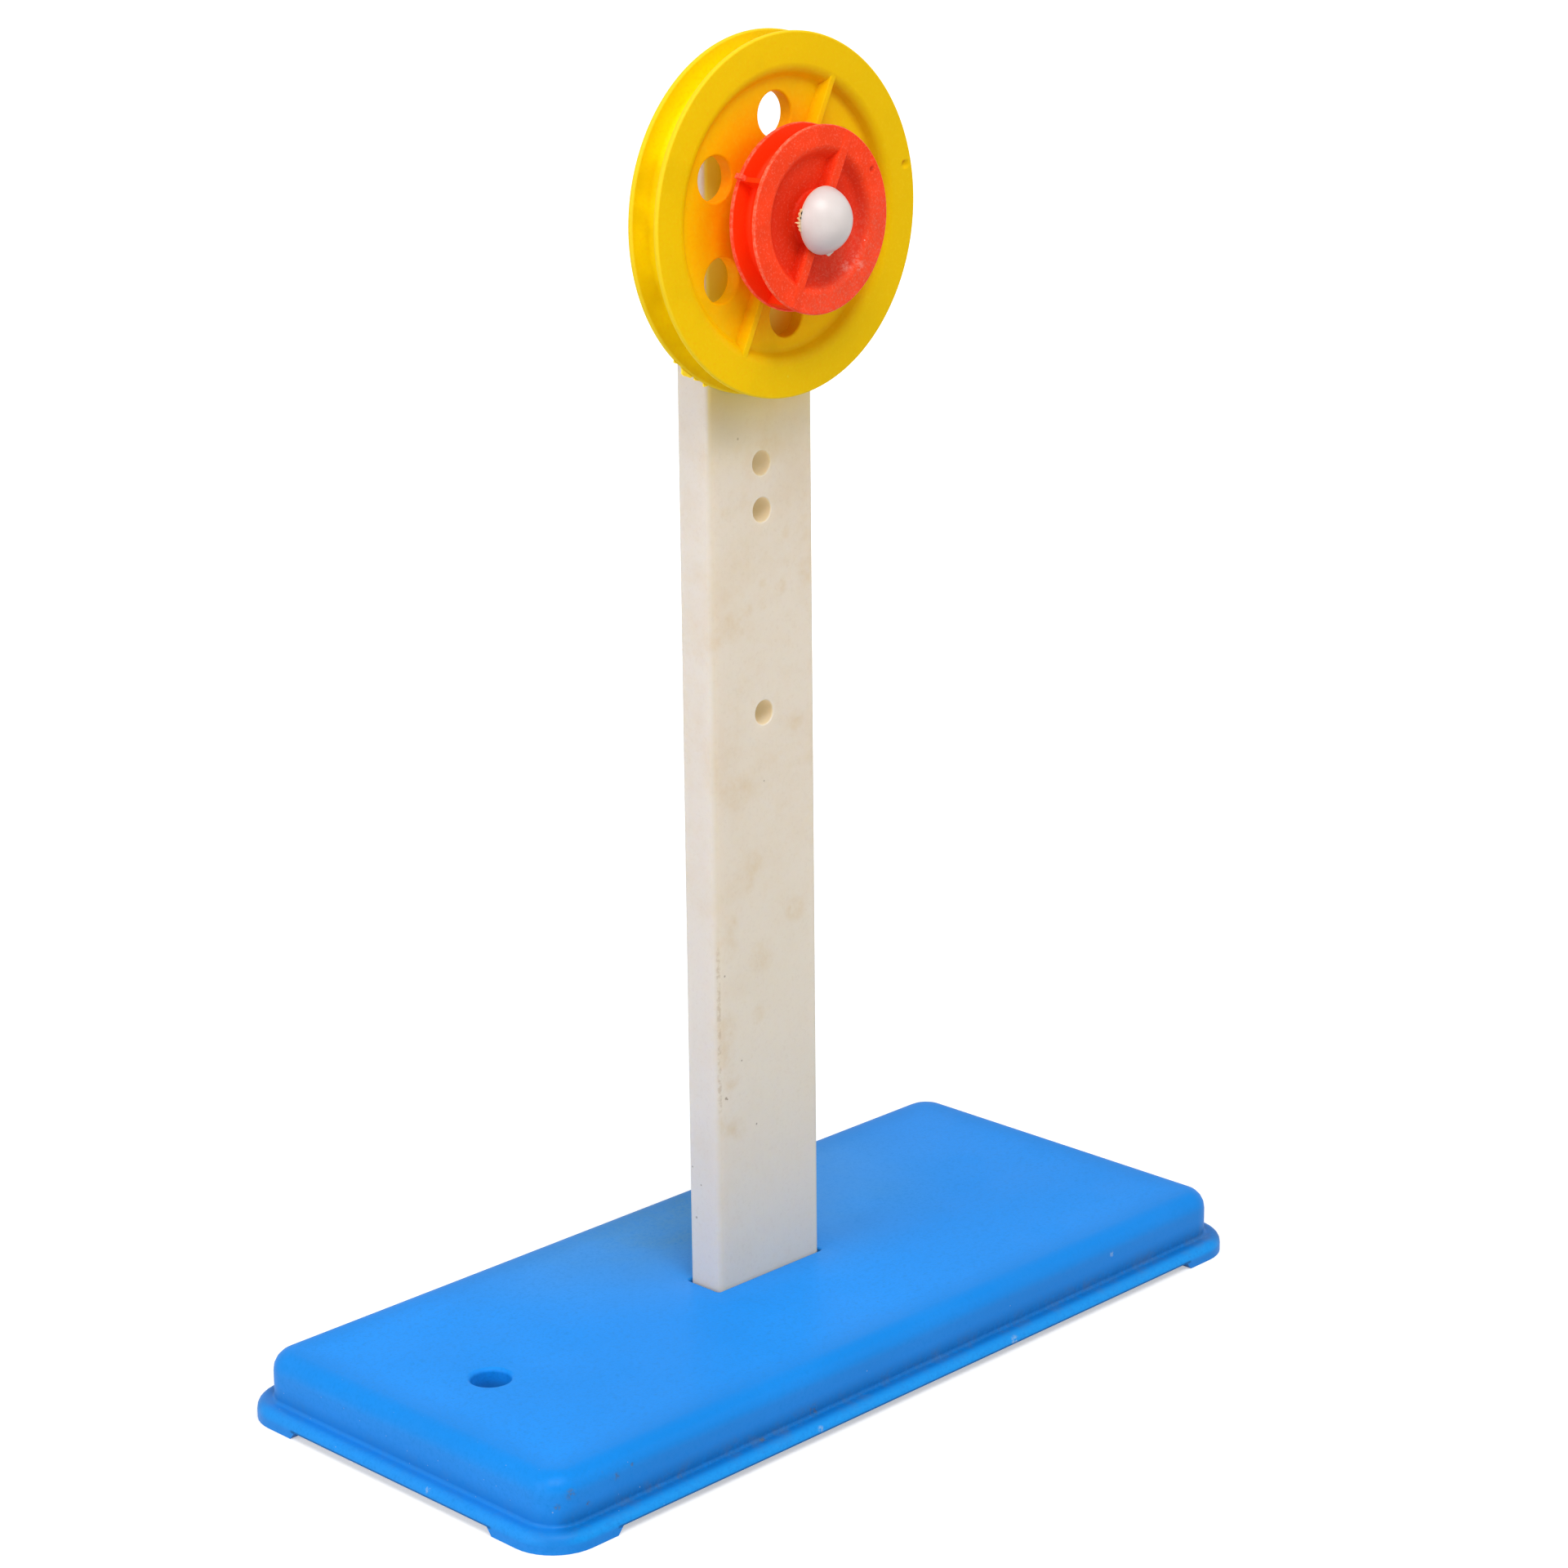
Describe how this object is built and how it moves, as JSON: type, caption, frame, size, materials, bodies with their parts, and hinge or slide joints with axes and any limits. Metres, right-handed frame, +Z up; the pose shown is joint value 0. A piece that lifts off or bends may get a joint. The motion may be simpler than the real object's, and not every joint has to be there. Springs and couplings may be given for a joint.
{
  "type": "pulley demonstrator",
  "caption": "Bench-top wheel-and-axle demonstrator: a large and a small grooved pulley locked together, turning on an axle pin near the top of a flat post on a heavy-rimmed rectangular base.",
  "frame": {"origin": "middle of the base's footprint, on the table", "axes": "+Z up, +X along the base to the end without the round hole, -Y towards the side that the pulleys stand on"},
  "size_m": [0.2154, 0.0996, 0.286],
  "materials": {
    "blue_plastic": "satin moulded polypropylene",
    "ivory_plastic": "satin moulded plastic, stained with age",
    "yellow_plastic": "satin moulded plastic",
    "red_plastic": "satin moulded plastic, scuffed",
    "white_plastic": "satin moulded plastic",
    "zinc_steel": "bright zinc plate"
  },
  "bodies": {
    "stand": {"base": "blue_plastic", "post": "ivory_plastic", "axle_pin": "white_plastic", "thrust_washer": "white_plastic", "axle_cap": "white_plastic", "post_screw_left": "zinc_steel", "post_screw_right": "zinc_steel"},
    "pulleys": {"large_pulley": "yellow_plastic", "small_pulley": "red_plastic"}
  },
  "joints": [
    {"name": "pulley_spin", "type": "hinge", "parent": "stand", "child": "pulleys", "pos_m": [0, -0.01225, 0.2485], "axis": [0, -1, 0], "continuous": true}
  ]
}
